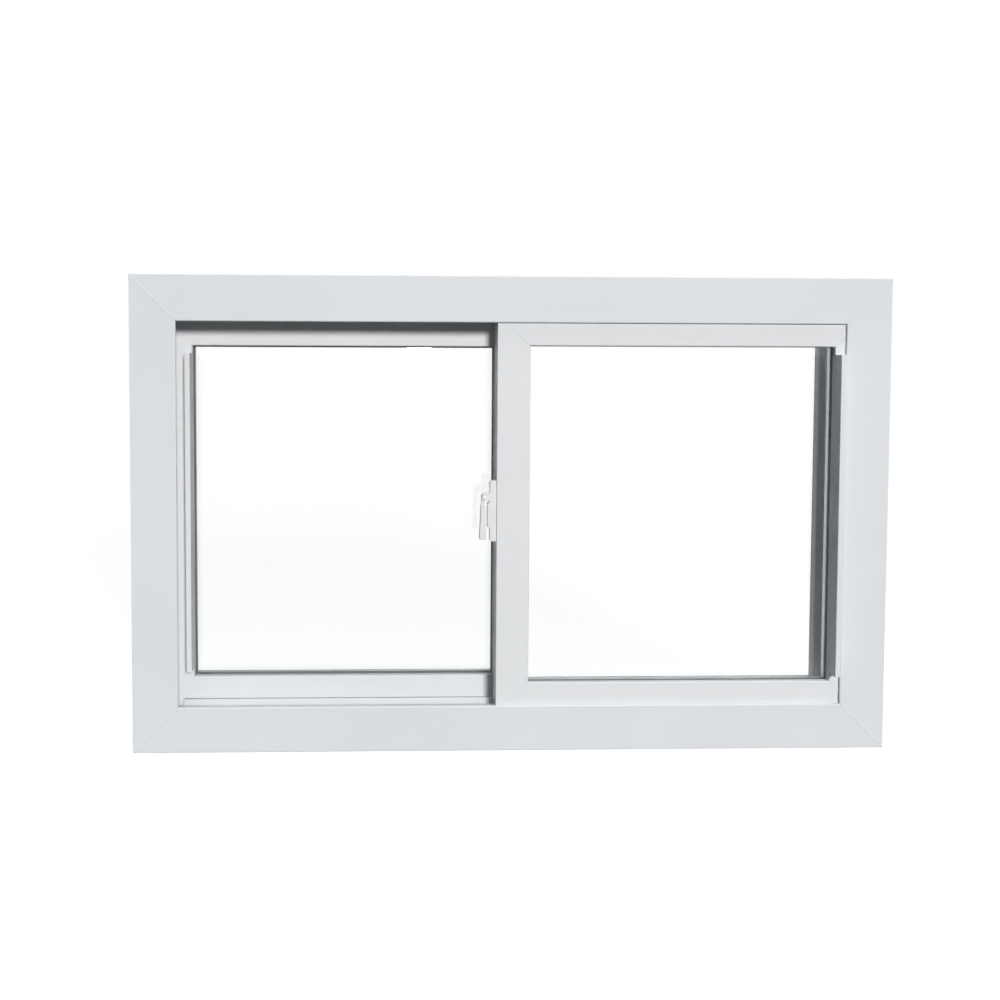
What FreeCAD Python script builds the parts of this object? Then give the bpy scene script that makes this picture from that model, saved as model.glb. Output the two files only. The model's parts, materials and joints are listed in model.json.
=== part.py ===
"""Two-lite horizontal sliding window in white vinyl, millimetres.

X runs along the window to the right as seen from indoors, Y runs from the indoor
face to the outdoor face, Z is up. The origin is the middle of the sill's underside.
Every bar is a mitred extrusion drawn in its own frame: local X along the bar, local Y
the depth from the indoor face, local Z the distance in from the outer edge.
"""
import FreeCAD
import Part
import Sketcher
import os
from types import SimpleNamespace

SIZES = [
    ("frame_width", 806.0),
    ("frame_height", 505.0),
    ("frame_depth", 96.0),
    ("frame_face", 48.5),
    ("front_leg", 2.5),
    ("base_height", 22.0),
    ("rear_block", 14.5),
    ("rear_block_rise", 3.0),
    ("wall", 2.0),
    ("frame_round", 1.2),
    ("sash_round", 1.0),
    ("rib_thickness", 4.0),
    ("rib_engagement", 7.7),
    ("sash_face", 35.0),
    ("sash_leg", 15.0),
    ("sash_clearance", 5.0),
    ("fixed_gap", 1.0),
    ("sash_gap", 8.0),
    ("rail_lap", 11.0),
    ("stile_lap", 24.0),
    ("groove_width", 14.0),
    ("groove_depth", 13.0),
    ("pocket_floor", 23.0),
    ("interlock_reach", 3.0),
    ("interlock_thickness", 3.0),
    ("pull_thickness", 6.0),
    ("pull_reach", 20.0),
    ("pull_end_gap", 8.5),
    ("pane_thickness", 3.0),
    ("pane_edge_gap", 2.0),
    ("spacer_edge_gap", 3.0),
    ("spacer_width", 7.0),
    ("bead_depth", 2.5),
    ("bead_chamfer", 1.5),
    ("cover_end_gap", 1.0),
    ("glide_length", 40.0),
    ("glide_inset", 60.0),
    ("glide_gap", 0.3),
    ("pile_width", 5.0),
    ("pile_inset", 3.0),
    ("pile_gap", 0.3),
    ("screw_radius", 2.5),
    ("screw_inset", 105.0),
    ("weep_length", 26.0),
    ("weep_height", 6.0),
    ("weep_inset", 150.0),
    ("weep_rise", 8.0),
    ("keeper_width", 12.0),
    ("keeper_height", 44.0),
    ("keeper_thickness", 3.0),
    ("keeper_slot_width", 4.5),
    ("keeper_slot_height", 26.0),
    ("keeper_offset", 2.0),
    ("latch_height", 65.0),
    ("latch_centre", 257.0),
    ("latch_depth", 11.0),
    ("latch_front_gap", 2.0),
    ("latch_plate", 7.0),
    ("latch_body", 9.5),
    ("latch_body_top", 9.0),
    ("latch_body_bottom", 18.0),
    ("cheek_thickness", 2.5),
    ("cheek_radius", 3.6),
    ("latch_round", 2.0),
    ("pin_radius", 1.5),
    ("pin_offset", 12.0),
    ("pin_height", 15.0),
    ("lever_clearance", 0.4),
    ("lever_radius", 3.2),
    ("lever_inner", 12.5),
    ("lever_outer", 16.5),
    ("lever_foot_inner", 11.0),
    ("lever_foot", 18.0),
    ("lever_round", 1.2),
    ("lever_drop", 31.0),
    ("lever_shoulder", 5.0),
]


class Size:
    """A length together with the sheet formula that it comes from."""

    def __init__(self, value, text):
        self.value = value
        self.text = text

    def __add__(self, other):
        return Size(self.value + other.value, "(%s + %s)" % (self.text, other.text))

    def __sub__(self, other):
        return Size(self.value - other.value, "(%s - %s)" % (self.text, other.text))

    def __neg__(self):
        return Size(-self.value, "(-%s)" % self.text)

    def __mul__(self, factor):
        return Size(self.value * factor, "(%s * %g)" % (self.text, factor))


ZERO = Size(0.0, "0")
ALONG_Y = FreeCAD.Vector(0, 1, 0)
TOUCHING = 0.001

doc = FreeCAD.newDocument("sliding_window")
sheet = doc.addObject("Spreadsheet::Sheet", "Sizes")
for row, (alias, value) in enumerate(SIZES, start=1):
    sheet.set("A%d" % row, alias)
    sheet.set("B%d" % row, "%g" % value)
    sheet.setAlias("B%d" % row, alias)
doc.recompute()
size = SimpleNamespace(**{alias: Size(value, "Sizes." + alias) for alias, value in SIZES})
nodes = []


def keep(item):
    """Lists a finished piece for export."""
    nodes.append(item)
    return item


def bind(item, name, length):
    """Ties one property of an item to the sheet."""
    item.setExpression(name, length.text)


def place(item, x, y, z, turn=0.0):
    """Moves a piece to x, y, z, turned about Y."""
    base = FreeCAD.Vector(x.value, y.value, z.value)
    item.Placement = FreeCAD.Placement(base, FreeCAD.Rotation(ALONG_Y, turn))
    for axis, length in (("x", x), ("y", y), ("z", z)):
        bind(item, "Placement.Base." + axis, length)


def new_body(label):
    """Starts a named body."""
    body = doc.addObject("PartDesign::Body", label)
    body.Label = label
    return body


def new_sketch(body, role, name, depth=ZERO):
    """Adds a sketch on one of the body's own planes, moved along the plane's normal."""
    plane = [item for item in body.Origin.OriginFeatures if item.Role == role][0]
    sketch = body.newObject("Sketcher::SketchObject", body.Name + "_" + name)
    sketch.AttachmentSupport = [(plane, "")]
    sketch.MapMode = "FlatFace"
    sketch.AttachmentOffset = FreeCAD.Placement(FreeCAD.Vector(0, 0, depth.value), FreeCAD.Rotation())
    bind(sketch, "AttachmentOffset.Base.z", depth)
    return sketch


def pin_point(sketch, line, point, axis, length):
    """Fixes one coordinate of a line end."""
    if length is ZERO:
        other_axis = -2 if axis == "X" else -1
        sketch.addConstraint(Sketcher.Constraint("PointOnObject", line, point, other_axis))
        return
    index = sketch.addConstraint(Sketcher.Constraint("Distance" + axis, line, point, length.value))
    bind(sketch, "Constraints[%d]" % index, length)


def outline(sketch, points):
    """Draws a closed outline through points whose coordinates all come from the sheet."""
    first = sketch.GeometryCount
    corners = [FreeCAD.Vector(u.value, v.value, 0) for u, v in points]
    count = len(points)
    for index in range(count):
        sketch.addGeometry(Part.LineSegment(corners[index], corners[(index + 1) % count]), False)
    for index, (u, v) in enumerate(points):
        line = first + index
        following = first + (index + 1) % count
        sketch.addConstraint(Sketcher.Constraint("Coincident", line, 2, following, 1))
        pin_point(sketch, line, 1, "X", u)
        pin_point(sketch, line, 1, "Y", v)


def rectangle(sketch, left, bottom, right, top):
    """Draws a rectangle from two corners."""
    outline(sketch, [(left, bottom), (right, bottom), (right, top), (left, top)])


def circle(sketch, u, v, radius):
    """Draws a circle with a bound centre and radius."""
    centre = FreeCAD.Vector(u.value, v.value, 0)
    index = sketch.addGeometry(Part.Circle(centre, FreeCAD.Vector(0, 0, 1), radius.value), False)
    pin_point(sketch, index, 3, "X", u)
    pin_point(sketch, index, 3, "Y", v)
    index = sketch.addConstraint(Sketcher.Constraint("Radius", index, radius.value))
    bind(sketch, "Constraints[%d]" % index, radius)


def pad(body, sketch, length, backward=False):
    """Pads a sketch by a length."""
    feature = body.newObject("PartDesign::Pad", sketch.Name + "_pad")
    feature.Profile = sketch
    feature.Length = length.value
    feature.Reversed = backward
    bind(feature, "Length", length)
    sketch.Visibility = False
    doc.recompute()
    return feature


def start_cut(body, sketch):
    """Adds a pocket of a sketch."""
    feature = body.newObject("PartDesign::Pocket", sketch.Name + "_cut")
    feature.Profile = sketch
    sketch.Visibility = False
    return feature


def finish_cut(body, feature, before):
    """Builds a pocket and makes sure that it took material away."""
    doc.recompute()
    if not body.Shape.Volume < before:
        raise RuntimeError(feature.Name + " cuts nothing")


def cut_through(body, sketch):
    """Cuts a sketch right through the body, to both sides of its plane."""
    before = body.Shape.Volume
    feature = start_cut(body, sketch)
    feature.Type = "ThroughAll"
    feature.SideType = "Symmetric"
    finish_cut(body, feature, before)


def cut_to(body, sketch, depth):
    """Cuts a sketch drawn on the outdoor face toward the indoor face, to a depth."""
    before = body.Shape.Volume
    feature = start_cut(body, sketch)
    feature.Reversed = True
    bind(feature, "Length", depth)
    finish_cut(body, feature, before)


def lies_at(point, corner, axes):
    """True where a point is over a corner of a section that spans two axes."""
    return all(abs(getattr(point, axis) - length.value) < TOUCHING for axis, length in zip(axes, corner))


def round_edges(body, feature, corners, radius, axes="yz"):
    """Rounds the edges that run straight back from the given corners of a section."""
    names = []
    for number, edge in enumerate(feature.Shape.Edges, start=1):
        ends = [vertex.Point for vertex in edge.Vertexes]
        if any(all(lies_at(end, corner, axes) for end in ends) for corner in corners):
            names.append("Edge%d" % number)
    if len(names) != len(corners):
        raise RuntimeError(body.Label + " lacks an edge to round")
    rounded = body.newObject("PartDesign::Fillet", feature.Name + "_round")
    rounded.Base = (feature, names)
    bind(rounded, "Radius", radius)
    doc.recompute()


def extrude_bar(label, loops, length, rounded=(), radius=None):
    """Extrudes a profile along local X and rounds some of its long edges."""
    body = new_body(label)
    profile = new_sketch(body, "YZ_Plane", "profile")
    for points in loops:
        outline(profile, points)
    feature = pad(body, profile, length)
    if rounded:
        round_edges(body, feature, rounded, radius)
    return body


def mitre(body, length, reach):
    """Cuts both ends of a bar at 45 degrees, full length at the outer edge."""
    sketch = new_sketch(body, "XZ_Plane", "mitre")
    outline(sketch, [(ZERO, ZERO), (reach, reach), (ZERO, reach)])
    outline(sketch, [(length, ZERO), (length, reach), (length - reach, reach)])
    cut_through(body, sketch)


def box(label, corner, lengths):
    """Makes a box from its low corner and its three lengths."""
    item = doc.addObject("Part::Box", label)
    item.Label = label
    for name, length in zip(("Length", "Width", "Height"), lengths):
        bind(item, name, length)
    place(item, *corner)
    return item


def group(label, items):
    """Gathers like pieces that do not touch into one node."""
    item = doc.addObject("Part::Compound", label)
    item.Label = label
    item.Links = items
    return item


# Places that follow from the sizes.
half_width = size.frame_width * 0.5
front_face = size.frame_depth * -0.5
block_front = size.frame_depth - size.rear_block
block_top = size.frame_face + size.rear_block_rise
right_sash_front = size.front_leg + size.fixed_gap
sash_depth = (block_front - right_sash_front - size.sash_clearance - size.sash_gap) * 0.5
left_sash_front = right_sash_front + sash_depth + size.sash_gap
left_sash_back = left_sash_front + sash_depth
glass_back = sash_depth - size.bead_depth
spacer_depth = glass_back - size.sash_leg - size.pane_thickness * 2
rail_edge = size.frame_face - size.rail_lap
stile_edge = size.frame_face - size.stile_lap
sash_height = size.frame_height - rail_edge * 2
sash_width = half_width - stile_edge + size.sash_face * 0.5
meeting_half = size.sash_face * 0.5
rib_offset = (sash_depth - size.rib_thickness) * 0.5


def frame_profile(rib_tip):
    """Outer outline and four chambers of the main frame extrusion."""
    base = size.base_height
    face = size.frame_face
    wall = size.wall
    depth = size.frame_depth
    points = [(ZERO, ZERO), (ZERO, face), (size.front_leg, face), (size.front_leg, base)]
    webs = []
    for sash_front in (right_sash_front, left_sash_front):
        near = sash_front + rib_offset
        far = near + size.rib_thickness
        points += [(near, base), (near, rib_tip), (far, rib_tip), (far, base)]
        webs.append(near + (size.rib_thickness - wall) * 0.5)
    points += [(block_front, base), (block_front, block_top), (depth, block_top), (depth, ZERO)]
    loops = [points]
    starts = [wall, webs[0] + wall, webs[1] + wall]
    ends = [webs[0], webs[1], depth - wall]
    for start, end in zip(starts, ends):
        loops.append([(start, wall), (end, wall), (end, base - wall), (start, base - wall)])
    near = block_front + wall
    far = depth - wall
    loops.append([(near, base), (far, base), (far, block_top - wall), (near, block_top - wall)])
    return loops


def frame_bar(label, length, sash_edge, corner, turn):
    """One mitred bar of the main frame."""
    depth = size.frame_depth
    corners = [
        (ZERO, ZERO), (ZERO, size.frame_face), (depth, ZERO), (depth, block_top), (block_front, block_top)]
    loops = frame_profile(sash_edge + size.rib_engagement)
    body = extrude_bar(label, loops, length, corners, size.frame_round)
    mitre(body, length, block_top + size.wall)
    place(body, *corner, turn)
    return keep(body)


def screw_holes(body, length):
    """Two installation holes through the base of a jamb, in the indoor track."""
    depth = right_sash_front + rib_offset * 0.5
    sketch = new_sketch(body, "XY_Plane", "screws")
    circle(sketch, size.screw_inset, depth, size.screw_radius)
    circle(sketch, length - size.screw_inset, depth, size.screw_radius)
    cut_through(body, sketch)


def weep_slots(body, length):
    """Two drain slots through the outdoor wall of the sill."""
    sketch = new_sketch(body, "XZ_Plane", "weeps", -size.frame_depth)
    rise = size.weep_rise
    for start in (size.weep_inset, length - size.weep_inset - size.weep_length):
        rectangle(sketch, start, rise, start + size.weep_length, rise + size.weep_height)
    cut_to(body, sketch, size.wall)


sill = frame_bar("frame_sill", size.frame_width, rail_edge, (-half_width, front_face, ZERO), 0)
weep_slots(sill, size.frame_width)
frame_bar("frame_head", size.frame_width, rail_edge, (half_width, front_face, size.frame_height), 180)
left_jamb = frame_bar(
    "frame_left_jamb", size.frame_height, stile_edge, (-half_width, front_face, size.frame_height), 90)
right_jamb = frame_bar("frame_right_jamb", size.frame_height, stile_edge, (half_width, front_face, ZERO), -90)
screw_holes(left_jamb, size.frame_height)
screw_holes(right_jamb, size.frame_height)


def sash_profile(grooved):
    """Outline and L-shaped chamber of a sash bar, with or without the groove for the track rib."""
    wall = size.wall
    depth = sash_depth
    face = size.sash_face
    floor = size.pocket_floor
    near = (depth - size.groove_width) * 0.5
    far = near + size.groove_width
    leg = size.sash_leg
    points = [(ZERO, ZERO), (ZERO, face), (leg, face), (leg, floor), (depth, floor), (depth, ZERO)]
    chamber_foot = wall
    if grooved:
        points += [(far, ZERO), (far, size.groove_depth), (near, size.groove_depth), (near, ZERO)]
        chamber_foot = size.groove_depth + wall
    chamber = [
        (wall, chamber_foot), (depth - wall, chamber_foot), (depth - wall, floor - wall),
        (leg - wall, floor - wall), (leg - wall, face - wall), (wall, face - wall)]
    return [points, chamber]


SASH_EDGES = [(ZERO, ZERO), (ZERO, size.sash_face)]


def sash_bar(label, length, corner, turn):
    """A grooved sash bar: a rail or an outer stile."""
    body = extrude_bar(label, sash_profile(True), length, SASH_EDGES, size.sash_round)
    mitre(body, length, size.sash_face + size.wall)
    place(body, *corner, turn)
    return keep(body)


def pull_stile(label, length, corner, turn):
    """An outer stile with the finger pull along its glass edge."""
    body = sash_bar(label, length, corner, turn)
    start = size.sash_face + size.pull_end_gap
    sketch = new_sketch(body, "XZ_Plane", "pull")
    rectangle(sketch, start, size.sash_face - size.pull_thickness, length - start, size.sash_face)
    fin = pad(body, sketch, size.pull_reach)
    tips = [(-size.pull_reach, size.sash_face), (-size.pull_reach, size.sash_face - size.pull_thickness)]
    round_edges(body, fin, tips, size.sash_round)
    return body


def meeting_stile(label, length, corner, turn, outdoors):
    """A plain stile with an interlock flange toward the other sash and rib notches at its ends."""
    body = extrude_bar(label, sash_profile(False), length, SASH_EDGES, size.sash_round)
    offset = -sash_depth if outdoors else ZERO
    flange = new_sketch(body, "XZ_Plane", "interlock", offset)
    foot = size.sash_round
    rectangle(flange, ZERO, foot, length, foot + size.interlock_thickness)
    pad(body, flange, size.interlock_reach, outdoors)
    mitre(body, length, size.sash_face + size.wall)
    near = (sash_depth - size.groove_width) * 0.5
    far = near + size.groove_width
    notch = new_sketch(body, "XY_Plane", "notch")
    rectangle(notch, ZERO, near, size.groove_depth, far)
    rectangle(notch, length - size.groove_depth, near, length, far)
    cut_through(body, notch)
    place(body, *corner, turn)
    return keep(body)


def bead(label, length, corner, turn):
    """One mitred glazing bar, snapped in behind the glass on the outdoor side."""
    height = size.sash_face - size.pocket_floor
    depth = size.bead_depth
    chamfer = size.bead_chamfer
    points = [
        (ZERO, ZERO), (ZERO, height), (depth - chamfer, height), (depth, height - chamfer), (depth, ZERO)]
    body = extrude_bar(label, [points], length)
    mitre(body, length, size.sash_face)
    place(body, *corner, turn)
    return keep(body)


def ring(label, left, inset, width, near, depth):
    """A flat ring that follows the sash at an inset from its outer edge."""
    body = new_body(label)
    sketch = new_sketch(body, "XZ_Plane", "ring")
    outer_width = sash_width - inset * 2
    outer_height = sash_height - inset * 2
    rectangle(sketch, ZERO, ZERO, outer_width, outer_height)
    rectangle(sketch, width, width, outer_width - width, outer_height - width)
    pad(body, sketch, depth, True)
    place(body, left + inset, near, rail_edge + inset)
    keep(body)


def glazing(name, left, sash_front):
    """Two panes, the spacer ring between them and the four beads behind."""
    floor = size.pocket_floor
    depth = front_face + sash_front + size.sash_leg
    edge = floor + size.pane_edge_gap
    width = sash_width - edge * 2
    height = sash_height - edge * 2
    corner_x = left + edge
    corner_z = rail_edge + edge
    pane = size.pane_thickness
    keep(box(name + "_inner_pane", (corner_x, depth, corner_z), (width, pane, height)))
    back = depth + pane + spacer_depth
    keep(box(name + "_outer_pane", (corner_x, back, corner_z), (width, pane, height)))
    ring(name + "_spacer", left, edge + size.spacer_edge_gap, size.spacer_width, depth + pane, spacer_depth)
    bead_front = front_face + sash_front + glass_back
    low = rail_edge + floor
    high = rail_edge + sash_height - floor
    near = left + floor
    far = left + sash_width - floor
    bead_width = sash_width - floor * 2
    bead_height = sash_height - floor * 2
    bead(name + "_bead_bottom", bead_width, (near, bead_front, low), 0)
    bead(name + "_bead_top", bead_width, (far, bead_front, high), 180)
    bead(name + "_bead_left", bead_height, (near, bead_front, high), 90)
    bead(name + "_bead_right", bead_height, (far, bead_front, low), -90)


def glides(name, left, sash_front, gap):
    """Two glides in the bottom groove, over the track rib."""
    top = rail_edge + size.groove_depth
    low = rail_edge + size.rib_engagement + gap
    depth = front_face + sash_front + (sash_depth - size.groove_width) * 0.5
    lengths = (size.glide_length, size.groove_width, top - low)
    starts = (left + size.glide_inset, left + sash_width - size.glide_inset - size.glide_length)
    pieces = [box("%s_glide_%d" % (name, i), (x, depth, low), lengths) for i, x in enumerate(starts, start=1)]
    keep(group(name + "_glides", pieces))


def pile_strips(name, left, near, reach, outer_left):
    """Pile seals on both rails and the outer stile."""
    inset = size.pile_inset
    width = size.pile_width
    low = rail_edge + inset
    high = rail_edge + sash_height - inset - width
    stile_x = left + inset if outer_left else left + sash_width - inset - width
    rail_start = left + inset + width + size.pile_inset
    rail_length = sash_width - (inset + width + size.pile_inset) * 2
    strips = [
        box(name + "_pile_bottom", (rail_start, near, low), (rail_length, reach, width)),
        box(name + "_pile_top", (rail_start, near, high), (rail_length, reach, width)),
        box(name + "_pile_stile", (stile_x, near, low), (width, reach, sash_height - inset * 2)),
    ]
    keep(group(name + "_pile_seal", strips))


def sash(name, left, sash_front, outer_left):
    """The four welded bars of one sash with its glass."""
    depth = front_face + sash_front
    right = left + sash_width
    top = rail_edge + sash_height
    sash_bar(name + "_bottom_rail", sash_width, (left, depth, rail_edge), 0)
    sash_bar(name + "_top_rail", sash_width, (right, depth, top), 180)
    left_place = (left, depth, top)
    right_place = (right, depth, rail_edge)
    if outer_left:
        pull_stile(name + "_outer_stile", sash_height, left_place, 90)
        meeting_stile(name + "_meeting_stile", sash_height, right_place, -90, False)
    else:
        meeting_stile(name + "_meeting_stile", sash_height, left_place, 90, True)
        pull_stile(name + "_outer_stile", sash_height, right_place, -90)
    glazing(name, left, sash_front)


right_sash_left = -meeting_half
left_sash_left = meeting_half - sash_width
sash("left_sash", left_sash_left, left_sash_front, True)
sash("right_sash", right_sash_left, right_sash_front, False)
glides("left_sash", left_sash_left, left_sash_front, size.glide_gap)
glides("right_sash", right_sash_left, right_sash_front, ZERO)
left_pile_reach = size.sash_clearance - size.pile_gap
pile_strips("left_sash", left_sash_left, front_face + left_sash_back, left_pile_reach, True)
pile_strips("right_sash", right_sash_left, front_face + size.front_leg, size.fixed_gap, False)


def track_cover():
    """Snap-in strip behind the empty indoor track's rib, its upstand level with the sill's leg."""
    wall = size.wall
    near = right_sash_front + rib_offset + size.rib_thickness
    far = left_sash_front - size.sash_clearance
    foot = size.base_height
    top = size.frame_face
    points = [
        (near, foot), (far, foot), (far, top),
        (far - wall, top), (far - wall, foot + wall), (near, foot + wall)]
    left = size.frame_face - half_width
    length = -left - meeting_half - size.cover_end_gap
    body = extrude_bar("sill_track_cover", [points], length, [(far - wall, top)], size.sash_round)
    place(body, left, front_face, ZERO)
    keep(body)


track_cover()


def keeper():
    """Slotted keeper plate for the latch on the indoor face of the left meeting stile."""
    body = new_body("latch_keeper")
    sketch = new_sketch(body, "XZ_Plane", "plate")
    width = size.keeper_width
    height = size.keeper_height
    slot_x = (width - size.keeper_slot_width) * 0.5
    slot_z = (height - size.keeper_slot_height) * 0.5
    rectangle(sketch, ZERO, ZERO, width, height)
    rectangle(sketch, slot_x, slot_z, width - slot_x, height - slot_z)
    pad(body, sketch, size.keeper_thickness)
    left = -size.keeper_offset - width * 0.5
    place(body, left, front_face + left_sash_front, size.latch_centre - height * 0.5)
    return keep(body)


keeper()


# The latch is drawn with local X out from the stile's edge and local Z up from its foot.
latch_front = front_face + right_sash_front + size.latch_front_gap
latch_foot = size.latch_centre - size.latch_height * 0.5
latch_middle = size.latch_height * 0.5
latch_place = (-meeting_half, latch_front + size.latch_depth, latch_foot)


def place_latch(item):
    """Turns a latch piece so that local X points to the left of the stile."""
    place(item, *latch_place)
    item.Placement = FreeCAD.Placement(item.Placement.Base, FreeCAD.Rotation(FreeCAD.Vector(0, 0, 1), 180))
    return keep(item)


def latch_base():
    """Base plate with its raised body and the two cheeks that hold the pin."""
    body = new_body("latch_base")
    plate = size.latch_plate
    raised = size.latch_body
    raised_top = latch_middle + size.latch_body_top
    raised_foot = latch_middle - size.latch_body_bottom
    sketch = new_sketch(body, "XZ_Plane", "plate")
    outline(sketch, [
        (ZERO, ZERO), (plate, ZERO), (plate, raised_foot), (raised, raised_foot), (raised, raised_top),
        (plate, raised_top), (plate, size.latch_height), (ZERO, size.latch_height)])
    block = pad(body, sketch, size.latch_depth, True)
    ends = [(plate, ZERO), (raised, raised_foot), (raised, raised_top), (plate, size.latch_height)]
    round_edges(body, block, ends, size.latch_round, "xz")
    pin_x = size.pin_offset
    pin_z = latch_middle + size.pin_height
    radius = size.cheek_radius
    for name, depth in (("near", ZERO), ("far", size.cheek_thickness - size.latch_depth)):
        arm = new_sketch(body, "XZ_Plane", name + "_arm", depth)
        rectangle(arm, size.wall, pin_z - radius, pin_x, pin_z + radius)
        pad(body, arm, size.cheek_thickness, True)
        eye = new_sketch(body, "XZ_Plane", name + "_eye", depth)
        circle(eye, pin_x, pin_z, radius)
        pad(body, eye, size.cheek_thickness, True)
    hole = new_sketch(body, "XZ_Plane", "pin_hole")
    circle(hole, pin_x, pin_z, size.pin_radius)
    cut_through(body, hole)
    return place_latch(body)


def latch_lever():
    """Lever with its barrel between the cheeks and a finger tab below them."""
    body = new_body("latch_lever")
    gap = size.lever_clearance
    start = size.cheek_thickness + gap
    thickness = size.latch_depth - start * 2
    pin_z = latch_middle + size.pin_height
    shoulder = latch_middle + size.lever_shoulder
    foot = latch_middle - size.lever_drop
    barrel = new_sketch(body, "XZ_Plane", "barrel", -start)
    circle(barrel, size.pin_offset, pin_z, size.lever_radius)
    pad(body, barrel, thickness, True)
    neck = new_sketch(body, "XZ_Plane", "neck", -start)
    outline(neck, [
        (size.lever_inner, shoulder), (size.lever_outer, shoulder),
        (size.pin_offset + size.lever_radius, pin_z), (size.pin_offset, pin_z)])
    pad(body, neck, thickness, True)
    tab = new_sketch(body, "XZ_Plane", "tab")
    outline(tab, [
        (size.lever_foot_inner, foot), (size.lever_foot, foot), (size.lever_outer, shoulder),
        (size.lever_inner, shoulder)])
    blade = pad(body, tab, size.latch_depth, True)
    tips = [(size.lever_foot_inner, foot), (size.lever_foot, foot)]
    round_edges(body, blade, tips, size.lever_round, "xz")
    hole = new_sketch(body, "XZ_Plane", "pin_hole")
    circle(hole, size.pin_offset, pin_z, size.pin_radius + size.lever_clearance)
    cut_through(body, hole)
    return place_latch(body)


def latch_pin():
    """Pivot pin through both cheeks."""
    body = new_body("latch_pin")
    sketch = new_sketch(body, "XZ_Plane", "pin")
    circle(sketch, size.pin_offset, latch_middle + size.pin_height, size.pin_radius)
    pad(body, sketch, size.latch_depth, True)
    return place_latch(body)


latch_base()
latch_lever()
latch_pin()

doc.recompute()
for item in doc.Objects:
    if "Invalid" in item.State or "Error" in item.State:
        raise RuntimeError(item.Name + " did not build")
os.makedirs("parts", exist_ok=True)
for item in nodes:
    if item.Shape.isNull() or not item.Shape.isValid():
        raise RuntimeError(item.Label + " is not a valid solid")
    item.Shape.exportStep("parts/%s.step" % item.Label)
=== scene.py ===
import json
import math

import bpy
from mathutils import Matrix, Vector


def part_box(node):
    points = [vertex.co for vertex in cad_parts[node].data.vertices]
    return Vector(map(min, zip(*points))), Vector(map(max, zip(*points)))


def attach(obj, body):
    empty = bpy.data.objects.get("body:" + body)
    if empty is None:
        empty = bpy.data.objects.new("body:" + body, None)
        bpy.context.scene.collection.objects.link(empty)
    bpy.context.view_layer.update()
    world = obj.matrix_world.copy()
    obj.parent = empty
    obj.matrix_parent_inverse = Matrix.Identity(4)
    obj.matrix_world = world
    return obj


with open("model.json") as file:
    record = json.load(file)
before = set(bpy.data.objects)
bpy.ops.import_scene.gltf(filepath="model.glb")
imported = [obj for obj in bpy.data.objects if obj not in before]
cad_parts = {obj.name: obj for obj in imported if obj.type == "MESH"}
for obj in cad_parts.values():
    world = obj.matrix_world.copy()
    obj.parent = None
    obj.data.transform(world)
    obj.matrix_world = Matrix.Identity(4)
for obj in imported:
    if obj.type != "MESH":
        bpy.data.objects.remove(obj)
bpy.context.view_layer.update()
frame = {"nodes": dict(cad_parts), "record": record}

# Places and lengths are in metres, and turns in degrees.
CAMERA_PLACE = (-0.142, -1.4165, 0.394)
CAMERA_TILT = -3.35
CAMERA_ROLL = -0.18
CAMERA_TURN = -2.23
CAMERA_LENS_MM = 46.8
CAMERA_SHIFT = (0.07, -0.042)

FRAME_BARS = ("frame_head", "frame_sill", "frame_left_jamb", "frame_right_jamb")
SASH_BARS = ("_top_rail", "_bottom_rail", "_outer_stile", "_meeting_stile")

EDGE_RADIUS = 0.00035
EDGE_SEGMENTS = 2
EDGE_ANGLE = 40.0
MERGE_DISTANCE = 1e-6

# The weld ridge along a mitre. Its section is in half widths across and heights up.
RIDGE_WIDTH = 0.0014
RIDGE_HEIGHT = 0.0005
RIDGE_INSET = 0.0012
RIDGE_STEPS = 48
RIDGE_SECTION = ((-1.0, -0.2), (-0.45, 0.85), (0.0, 1.0), (0.45, 0.85), (1.0, -0.2))
RIDGE_MEAN = 0.75
RIDGE_SWING = 0.25
RIDGE_WAVES = (2.1, 0.9)

# The glazing seal, and how far its dark lip stands past each sash's leg; the wide lip on the left sash
# is painted shade along that glass's edges.
# Its section is in depths in front of the pane and lips past the leg.
SEAL_DEPTH = 0.007
SEAL_LIPS_PAINTING_SHADE = {"left_sash": 0.0012, "right_sash": 0.0001}
SEAL_SECTION = ((1.0, 0.0), (0.9, 0.5), (0.3, 0.8), (0.1, 1.0), (0.0, 1.0), (0.0, 0.0))

# The pile fringe in front of the left sash, a dark strip that is also painted shade along the gap under
# its bottom rail.
FRINGE_CLEARANCE = 0.0005
FRINGE_DROP = 0.0005
FRINGE_HEIGHT = 0.004
FRINGE_STEP = 0.0012
FRINGE_RAGGED = 0.0003
FRINGE_WAVES = (2.4, 0.7)

# Colours, each pair from dark to light, and the share of a colour that its darker patches keep.
VINYL = (0.77, 0.79, 0.81)
SASH_VINYL = (0.8, 0.81, 0.82)
VINYL_DRIFT = 0.97
LATCH_PLASTIC = (0.76, 0.77, 0.78)
GLIDE_PLASTIC = (0.3, 0.31, 0.32)
MOULDED_DRIFT = 0.94
SPACER_METAL = ((0.42, 0.45, 0.48), (0.52, 0.55, 0.58))
PILE_FIBRES = ((0.2, 0.21, 0.22), (0.42, 0.43, 0.44))
SEAL_RUBBER = ((0.17, 0.175, 0.18), (0.25, 0.255, 0.26))
STEEL = (0.55, 0.56, 0.57)
GLASS_TINT = (0.995, 1.0, 0.998)
GLASS_IOR = 1.45
RAMP_ENDS = (0.3, 0.7)

# The lamps beside the jambs.
STRIP_WIDTH = 0.06
STRIP_HEIGHT = 0.6
STRIP_POWER = 2.3
STRIP_REACH = 1.0

FILL_COLOUR = (0.6, 0.78, 1.0)
FILL_STRENGTH = 0.06
FLOOR_REACH = 30.0
FLOOR_LIT = (0.12, 0.12, 0.12)
FLOOR_SEEN = (0.25, 0.25, 0.25)
FLOOR_GLOW = 0.82
WHITE = (1.0, 1.0, 1.0)

# Between no diffuse bounce and one.
FIRST_BOUNCE = 0.5


def opaque(colour):
    """A colour with full cover, as a socket takes it."""
    return (*colour, 1.0)


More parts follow.
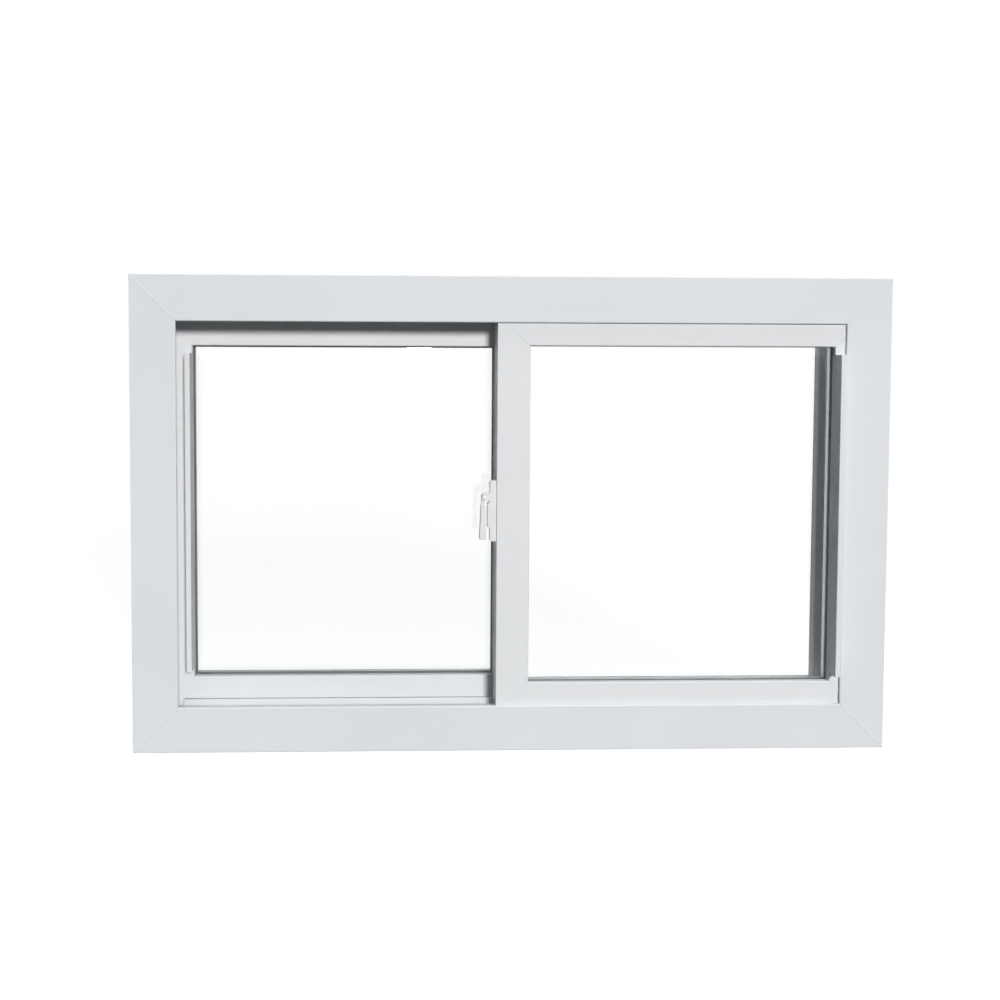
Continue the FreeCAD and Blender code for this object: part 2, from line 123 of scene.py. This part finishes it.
def new_material(name):
    """A Principled material with its node tree and shader."""
    material = bpy.data.materials.new(name)
    material.use_nodes = True
    tree = material.node_tree
    return material, tree, tree.nodes["Principled BSDF"]


def object_coords(tree):
    """Coordinates that stay with the piece as it moves."""
    return tree.nodes.new("ShaderNodeTexCoord").outputs["Object"]


def stretched(tree, coords, scale):
    """Object coordinates scaled per axis."""
    node = tree.nodes.new("ShaderNodeMapping")
    node.inputs["Scale"].default_value = scale
    tree.links.new(coords, node.inputs["Vector"])
    return node.outputs["Vector"]


def noise(tree, vector, scale, detail=3.0):
    """A noise texture's value."""
    node = tree.nodes.new("ShaderNodeTexNoise")
    node.inputs["Scale"].default_value = scale
    node.inputs["Detail"].default_value = detail
    tree.links.new(vector, node.inputs["Vector"])
    return node.outputs["Fac"]


def ramp(tree, value, low, high):
    """A value spread between two numbers or colours."""
    node = tree.nodes.new("ShaderNodeValToRGB")
    for end, position, shade in zip(node.color_ramp.elements, RAMP_ENDS, (low, high)):
        end.position = position
        end.color = opaque(shade if isinstance(shade, tuple) else (shade, shade, shade))
    tree.links.new(value, node.inputs["Fac"])
    return node.outputs["Color"]


def drifting(tree, value, colour, share):
    """A colour with darker patches that keep a share of it."""
    return ramp(tree, value, tuple(share * channel for channel in colour), colour)


def bump(tree, shader, height, distance, strength=1.0):
    """Surface relief from a height value, in metres."""
    node = tree.nodes.new("ShaderNodeBump")
    node.inputs["Strength"].default_value = strength
    node.inputs["Distance"].default_value = distance
    tree.links.new(height, node.inputs["Height"])
    tree.links.new(node.outputs["Normal"], shader.inputs["Normal"])


def vinyl(name, colour, along):
    """Extruded vinyl: faint drawing lines along the bar, a soft colour drift and a satin face."""
    material, tree, shader = new_material(name)
    coords = object_coords(tree)
    drawn = tuple(0.02 if axis == along else 1.0 for axis in "XYZ")
    lines = noise(tree, stretched(tree, coords, drawn), scale=900.0, detail=2.0)
    patches = noise(tree, coords, scale=9.0)
    tree.links.new(drifting(tree, patches, colour, VINYL_DRIFT), shader.inputs["Base Color"])
    tree.links.new(ramp(tree, lines, low=0.4, high=0.5), shader.inputs["Roughness"])
    shader.inputs["Specular IOR Level"].default_value = 0.12
    bump(tree, shader, lines, distance=0.00004, strength=0.5)
    return material


def glass():
    """Clear float glass with a faint tint, its slight draw waves and a trace of dust."""
    material, tree, shader = new_material("glass")
    coords = object_coords(tree)
    waves = noise(tree, stretched(tree, coords, (1.0, 1.0, 0.25)), scale=14.0, detail=1.0)
    dust = noise(tree, coords, scale=320.0, detail=4.0)
    tree.links.new(ramp(tree, dust, low=0.0, high=0.02), shader.inputs["Roughness"])
    bump(tree, shader, waves, distance=0.00004, strength=0.3)
    shader.inputs["Base Color"].default_value = opaque(GLASS_TINT)
    shader.inputs["Transmission Weight"].default_value = 1.0
    shader.inputs["IOR"].default_value = GLASS_IOR
    return material


def aluminium():
    """Folded spacer strip with a drawn grain."""
    material, tree, shader = new_material("spacer")
    coords = object_coords(tree)
    grain = noise(tree, stretched(tree, coords, (1.0, 0.05, 1.0)), scale=700.0)
    shader.inputs["Metallic"].default_value = 1.0
    tree.links.new(ramp(tree, grain, *SPACER_METAL), shader.inputs["Base Color"])
    tree.links.new(ramp(tree, grain, low=0.38, high=0.5), shader.inputs["Roughness"])
    bump(tree, shader, grain, distance=0.00005)
    return material


def moulded(name, colour, roughness):
    """Moulded plastic with a fine grain."""
    material, tree, shader = new_material(name)
    coords = object_coords(tree)
    grain = noise(tree, coords, scale=2200.0, detail=2.0)
    patches = noise(tree, coords, scale=60.0)
    tree.links.new(drifting(tree, patches, colour, MOULDED_DRIFT), shader.inputs["Base Color"])
    tree.links.new(ramp(tree, grain, roughness - 0.05, roughness + 0.08), shader.inputs["Roughness"])
    bump(tree, shader, grain, distance=0.00003, strength=0.6)
    return material


def pile():
    """Woven pile strip."""
    material, tree, shader = new_material("pile")
    coords = object_coords(tree)
    fibres = noise(tree, stretched(tree, coords, (1.0, 0.15, 1.0)), scale=2600.0, detail=4.0)
    tree.links.new(ramp(tree, fibres, *PILE_FIBRES), shader.inputs["Base Color"])
    shader.inputs["Roughness"].default_value = 0.95
    bump(tree, shader, fibres, distance=0.0006)
    return material


def rubber():
    """Dark glazing seal with a faint bloom."""
    material, tree, shader = new_material("seal")
    coords = object_coords(tree)
    bloom = noise(tree, coords, scale=240.0)
    grain = noise(tree, coords, scale=1800.0, detail=2.0)
    tree.links.new(ramp(tree, bloom, *SEAL_RUBBER), shader.inputs["Base Color"])
    tree.links.new(ramp(tree, grain, low=0.6, high=0.8), shader.inputs["Roughness"])
    bump(tree, shader, grain, distance=0.00004)
    return material


def steel():
    """Plain turned pin."""
    material, tree, shader = new_material("pin")
    coords = object_coords(tree)
    rings = noise(tree, stretched(tree, coords, (0.1, 1.0, 0.1)), scale=4000.0)
    shader.inputs["Metallic"].default_value = 1.0
    shader.inputs["Base Color"].default_value = opaque(STEEL)
    tree.links.new(ramp(tree, rings, low=0.25, high=0.4), shader.inputs["Roughness"])
    return material


materials = {
    "frame_vinyl": {along: vinyl("frame_vinyl_" + along, VINYL, along) for along in "XZ"},
    "sash_vinyl": {along: vinyl("sash_vinyl_" + along, SASH_VINYL, along) for along in "XZ"},
    "bead_vinyl": {along: vinyl("bead_vinyl_" + along, VINYL, along) for along in "XZ"},
    "glass": glass(),
    "spacer": aluminium(),
    "glide": moulded("glide", GLIDE_PLASTIC, roughness=0.5),
    "pile": pile(),
    "latch": moulded("latch", LATCH_PLASTIC, roughness=0.38),
    "pin": steel(),
}
seal = rubber()


def soften_edges(piece):
    """Rounds a piece's sharp edges a little, which also opens the fine line along a welded mitre."""
    weld = piece.modifiers.new("weld", "WELD")
    weld.merge_threshold = MERGE_DISTANCE
    bevel = piece.modifiers.new("edges", "BEVEL")
    bevel.width = EDGE_RADIUS
    bevel.segments = EDGE_SEGMENTS
    bevel.limit_method = "ANGLE"
    bevel.angle_limit = math.radians(EDGE_ANGLE)
    bevel.use_clamp_overlap = False
    bevel.loop_slide = False


def runs_along(node):
    """The longer of a bar's two in-plane directions."""
    low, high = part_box(node)
    return "X" if high[0] - low[0] > high[2] - low[2] else "Z"


for row in frame["record"]["subparts"]:
    node = row["node"]
    slot = row["material_slot"]
    piece = frame["nodes"][node]
    choice = materials[slot]
    piece.data.materials.clear()
    piece.data.materials.append(choice[runs_along(node)] if isinstance(choice, dict) else choice)
    if slot != "glass":
        soften_edges(piece)


def new_piece(name, body, material, vertices, faces):
    """A detail that rides on one body of the window."""
    mesh = bpy.data.meshes.new(name)
    mesh.from_pydata(vertices, [], faces)
    mesh.update()
    piece = bpy.data.objects.new(name, mesh)
    bpy.context.collection.objects.link(piece)
    piece.data.materials.append(material)
    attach(piece, body)


def uneven(step, waves):
    """A rise and fall between -1 and 1 that hardly repeats."""
    return math.sin(waves[0] * step) * math.cos(waves[1] * step)


def capped_tube(steps, points):
    """Faces that join the rows of points at each step into a tube and close its two ends."""
    faces = []
    for step in range(1, steps + 1):
        near = points * step
        far = near - points
        for point in range(points):
            beside = (point + 1) % points
            faces.append((near + point, near + beside, far + beside, far + point))
    last = points * steps
    faces.append(tuple(range(points)))
    faces.append(tuple(reversed(range(last, last + points))))
    return faces


def weld_ridge(start, end, face):
    """Vertices and faces of a low ridge along a mitre, uneven as a trimmed weld is."""
    start = Vector((start[0], face, start[1]))
    end = Vector((end[0], face, end[1]))
    run = end - start
    across = run.cross(Vector((0.0, 1.0, 0.0))).normalized() * RIDGE_WIDTH / 2
    lift = Vector((0.0, -RIDGE_HEIGHT, 0.0))
    vertices = []
    for step in range(RIDGE_STEPS + 1):
        place = start + run * (step / RIDGE_STEPS)
        swell = RIDGE_MEAN + RIDGE_SWING * uneven(step, RIDGE_WAVES)
        for side, height in RIDGE_SECTION:
            vertices.append(place + across * side * swell + lift * height * swell)
    return vertices, capped_tube(RIDGE_STEPS, len(RIDGE_SECTION))


def outer_edges(nodes):
    """The left, right, bottom and top of a ring of bars."""
    boxes = [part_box(node) for node in nodes]
    left = min(low[0] for low, high in boxes)
    right = max(high[0] for low, high in boxes)
    bottom = min(low[2] for low, high in boxes)
    top = max(high[2] for low, high in boxes)
    return left, right, bottom, top


def weld_corners(name, body, slot, nodes, width, face):
    """Weld ridges at the four mitred corners of a ring of bars."""
    left, right, bottom, top = outer_edges(nodes)
    vertices = []
    faces = []
    corners = ((left, bottom, 1, 1), (right, bottom, -1, 1), (right, top, -1, -1), (left, top, 1, -1))
    for x, z, along, up in corners:
        start = (x + along * RIDGE_INSET, z + up * RIDGE_INSET)
        end = (x + along * (width - RIDGE_INSET), z + up * (width - RIDGE_INSET))
        more_vertices, more_faces = weld_ridge(start, end, face)
        first = len(vertices)
        vertices += more_vertices
        faces += [tuple(first + index for index in loop) for loop in more_faces]
    new_piece(name, body, materials[slot]["X"], vertices, faces)


def glazing_seal_and_painted_shade(sash, body, bars, width):
    """A rubber wedge round the glass, pressed between the indoor leg of the sash and the pane. Its dark
    lip, wide on the left sash, is painted shade along the glass edges.
    """
    left, right, bottom, top = outer_edges(bars)
    pane_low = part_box(sash + "_inner_pane")[0]
    vertices = []
    for depth, lip in SEAL_SECTION:
        y = pane_low[1] - depth * SEAL_DEPTH
        # The lip past the leg is painted shade on the left sash and a real seal edge on the right.
        inset = width + lip * SEAL_LIPS_PAINTING_SHADE[sash]
        near, far = left + inset, right - inset
        under, over = bottom + inset, top - inset
        vertices += [(near, y, under), (far, y, under), (far, y, over), (near, y, over)]
    faces = []
    for row in range(len(SEAL_SECTION)):
        this = 4 * row
        following = 4 * ((row + 1) % len(SEAL_SECTION))
        for corner in range(4):
            beside = (corner + 1) % 4
            faces.append((this + corner, this + beside, following + beside, following + corner))
    # The record has no slot for rubber, so the seal takes a rubber material of its own.
    new_piece(sash + "_glazing_seal_and_painted_shade", body, seal, vertices, faces)


def pile_fringe_and_painted_shade():
    """The ragged pile along the left sash's bottom rail, just clear of the upstand on the sill. Its
    dark strip is also painted shade in the gap between rail and upstand.
    """
    rail_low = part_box("left_sash_bottom_rail")[0]
    strip_low, strip_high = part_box("sill_track_cover")
    left = strip_low[0] + FRINGE_CLEARANCE
    right = strip_high[0]
    back = rail_low[1]
    front = strip_high[1] + FRINGE_CLEARANCE
    top = strip_high[2] - FRINGE_DROP
    bottom = top - FRINGE_HEIGHT
    steps = round((right - left) / FRINGE_STEP)
    vertices = []
    for step in range(steps + 1):
        x = left + (right - left) * step / steps
        ragged = FRINGE_RAGGED * (1 + uneven(step, FRINGE_WAVES)) / 2
        tip = front + ragged
        # Each step of the dark strip is painted shade in the gap as well as pile.
        vertices += [(x, back, bottom), (x, tip, bottom), (x, tip, top - ragged), (x, back, top)]
    faces = capped_tube(steps, 4)
    new_piece("left_sash_pile_fringe", "left_sash", materials["pile"], vertices, faces)


head_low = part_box("frame_head")[0]
# The upstand on the sill is level with the frame's indoor leg.
leg_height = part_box("sill_track_cover")[1][2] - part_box("frame_sill")[0][2]
weld_corners("frame_welds_indoors", "frame", "frame_vinyl", FRAME_BARS, leg_height, head_low[1])
for sash, body in (("left_sash", "left_sash"), ("right_sash", "frame")):
    bars = [sash + bar for bar in SASH_BARS]
    rail_low, rail_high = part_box(sash + "_top_rail")
    rail_height = rail_high[2] - rail_low[2]
    weld_corners(sash + "_welds_indoors", body, "sash_vinyl", bars, rail_height, rail_low[1])
    glazing_seal_and_painted_shade(sash, body, bars, rail_height)
pile_fringe_and_painted_shade()


def sun(name, toward, strength, spread):
    """A lamp with even light from one side, its edge softened by its angle."""
    data = bpy.data.lights.new(name, "SUN")
    data.energy = strength
    data.angle = math.radians(spread)
    lamp = bpy.data.objects.new(name, data)
    bpy.context.collection.objects.link(lamp)
    lamp.rotation_mode = "QUATERNION"
    lamp.rotation_quaternion = Vector(toward).to_track_quat("-Z", "Y")


def strip_lamp(name, side, depth):
    """A narrow upright lamp beside the window, which lights little but the outer face of that jamb."""
    data = bpy.data.lights.new(name, "AREA")
    data.shape = "RECTANGLE"
    data.size = STRIP_WIDTH
    data.size_y = STRIP_HEIGHT
    data.energy = STRIP_POWER
    lamp = bpy.data.objects.new(name, data)
    bpy.context.collection.objects.link(lamp)
    lamp.location = (side * STRIP_REACH, depth, STRIP_HEIGHT / 2)
    lamp.rotation_euler = (math.radians(90), 0.0, math.radians(90 * side))
    lamp.visible_camera = False
    lamp.visible_glossy = False


sun("key", toward=(-0.2, 1.0, -0.25), strength=2.65, spread=11.0)
sun("top", toward=(0.05, 0.1, -1.0), strength=1.4, spread=16.0)
sun("back", toward=(-0.03, -1.0, -0.06), strength=2.2, spread=4.0)
strip_lamp("left", side=-1, depth=0.0)
strip_lamp("right", side=1, depth=0.25)


def seen_white(tree):
    """1 where the eye looks, straight or by way of mirror and glass, and 0 for light on a surface."""
    path = tree.nodes.new("ShaderNodeLightPath")
    total = path.outputs["Is Camera Ray"]
    for name in ("Is Glossy Ray", "Is Transmission Ray"):
        join = tree.nodes.new("ShaderNodeMath")
        join.operation = "MAXIMUM"
        tree.links.new(total, join.inputs[0])
        tree.links.new(path.outputs[name], join.inputs[1])
        total = join.outputs[0]
    direct = tree.nodes.new("ShaderNodeMath")
    direct.operation = "LESS_THAN"
    direct.inputs[1].default_value = FIRST_BOUNCE
    tree.links.new(path.outputs["Diffuse Depth"], direct.inputs[0])
    both = tree.nodes.new("ShaderNodeMath")
    both.operation = "MULTIPLY"
    tree.links.new(total, both.inputs[0])
    tree.links.new(direct.outputs[0], both.inputs[1])
    return both.outputs[0]


def make_world():
    """White to the eye, and a weak blue fill as a light."""
    world = bpy.data.worlds.new("studio")
    bpy.context.scene.world = world
    world.use_nodes = True
    tree = world.node_tree
    tree.nodes.clear()
    out = tree.nodes.new("ShaderNodeOutputWorld")
    lit = tree.nodes.new("ShaderNodeBackground")
    lit.inputs["Color"].default_value = opaque(FILL_COLOUR)
    lit.inputs["Strength"].default_value = FILL_STRENGTH
    shown = tree.nodes.new("ShaderNodeBackground")
    shown.inputs["Color"].default_value = opaque(WHITE)
    shown.inputs["Strength"].default_value = 1.0
    mix = tree.nodes.new("ShaderNodeMixShader")
    tree.links.new(seen_white(tree), mix.inputs["Fac"])
    tree.links.new(lit.outputs[0], mix.inputs[1])
    tree.links.new(shown.outputs[0], mix.inputs[2])
    tree.links.new(mix.outputs[0], out.inputs["Surface"])


def make_floor():
    """A wide floor under the sill, white to the eye but for the window's shadow, and dim as a light."""
    material, tree, shader = new_material("floor")
    shader.inputs["Base Color"].default_value = opaque(FLOOR_SEEN)
    shader.inputs["Roughness"].default_value = 1.0
    shader.inputs["Specular IOR Level"].default_value = 0.0
    shader.inputs["Emission Color"].default_value = opaque(WHITE)
    shader.inputs["Emission Strength"].default_value = FLOOR_GLOW
    lit = tree.nodes.new("ShaderNodeBsdfDiffuse")
    lit.inputs["Color"].default_value = opaque(FLOOR_LIT)
    mix = tree.nodes.new("ShaderNodeMixShader")
    tree.links.new(seen_white(tree), mix.inputs["Fac"])
    tree.links.new(lit.outputs[0], mix.inputs[1])
    tree.links.new(shader.outputs[0], mix.inputs[2])
    tree.links.new(mix.outputs[0], tree.nodes["Material Output"].inputs["Surface"])
    mesh = bpy.data.meshes.new("floor")
    signs = ((-1, -1), (1, -1), (1, 1), (-1, 1))
    corners = [(x * FLOOR_REACH, y * FLOOR_REACH, 0.0) for x, y in signs]
    mesh.from_pydata(corners, [], [(0, 1, 2, 3)])
    floor = bpy.data.objects.new("floor", mesh)
    floor.data.materials.append(material)
    bpy.context.collection.objects.link(floor)


def make_camera():
    """The photograph's view."""
    data = bpy.data.cameras.new("camera")
    data.lens = CAMERA_LENS_MM
    data.shift_x, data.shift_y = CAMERA_SHIFT
    camera = bpy.data.objects.new("camera", data)
    bpy.context.collection.objects.link(camera)
    aim = Matrix.Rotation(math.radians(CAMERA_TURN), 4, "Z")
    aim = aim @ Matrix.Rotation(math.radians(CAMERA_TILT), 4, "X")
    aim = aim @ Matrix.Rotation(math.radians(CAMERA_ROLL), 4, "Y")
    aim = aim @ Matrix.Rotation(math.radians(90), 4, "X")
    camera.matrix_world = Matrix.Translation(CAMERA_PLACE) @ aim
    bpy.context.scene.camera = camera


make_world()
make_floor()
make_camera()
bpy.context.scene.view_settings.view_transform = "Standard"
